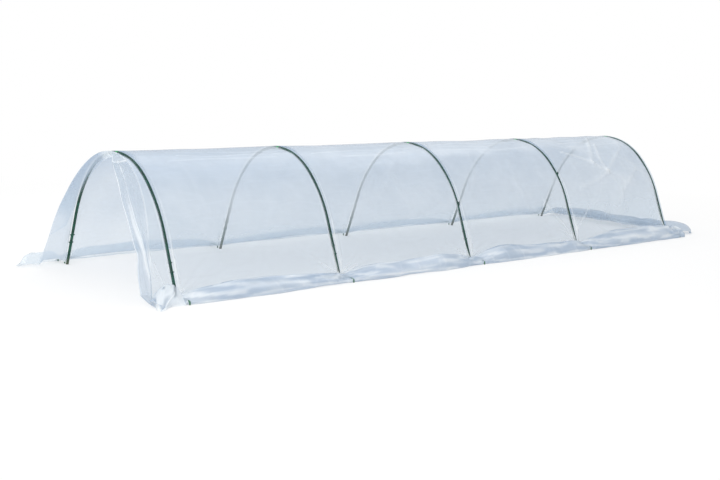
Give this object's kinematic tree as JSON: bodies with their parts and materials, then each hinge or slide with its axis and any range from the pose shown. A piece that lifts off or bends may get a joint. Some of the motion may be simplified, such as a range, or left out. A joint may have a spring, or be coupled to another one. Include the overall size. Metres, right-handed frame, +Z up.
{
  "type": "low garden polytunnel",
  "caption": "Low garden tunnel of clear film drawn over bent hoops, with pegged puffy skirts, one end drawn open and the other closed.",
  "frame": {"origin": "centre of the part's footprint on the ground", "axes": "+X along the tunnel from its open end to its closed end, +Y to the back, +Z up"},
  "size_m": [3.41, 1.0411, 0.4996],
  "materials": {
    "hoop_coating": "ribbed plastic coating on bent tube, dark green",
    "joiner_plastic": "moulded plastic, bright green",
    "peg_coating": "plastic coated rod, green",
    "film": "clear to milky polythene film, creased"
  },
  "bodies": {
    "root": {"hoop_1_front": "hoop_coating", "ground_peg_1_front": "peg_coating", "hoop_1_back": "hoop_coating", "ground_peg_1_back": "peg_coating", "crown_joiner_1": "joiner_plastic", "hoop_2_front": "hoop_coating", "ground_peg_2_front": "peg_coating", "hoop_2_back": "hoop_coating", "ground_peg_2_back": "peg_coating", "crown_joiner_2": "joiner_plastic", "hoop_3_front": "hoop_coating", "ground_peg_3_front": "peg_coating", "hoop_3_back": "hoop_coating", "ground_peg_3_back": "peg_coating", "crown_joiner_3": "joiner_plastic", "hoop_4_front": "hoop_coating", "ground_peg_4_front": "peg_coating", "hoop_4_back": "hoop_coating", "ground_peg_4_back": "peg_coating", "crown_joiner_4": "joiner_plastic", "hoop_5_front": "hoop_coating", "ground_peg_5_front": "peg_coating", "hoop_5_back": "hoop_coating", "ground_peg_5_back": "peg_coating", "crown_joiner_5": "joiner_plastic", "skirt_1_front": "film", "skirt_1_back": "film", "skirt_2_front": "film", "skirt_2_back": "film", "skirt_3_front": "film", "skirt_3_back": "film", "skirt_4_front": "film", "skirt_4_back": "film", "film_cover": "film", "near_flap_back": "film", "near_curtain": "film", "near_corner_front": "film", "near_hem_back": "film", "end_panel": "film", "end_fold": "film"}
  },
  "joints": []
}
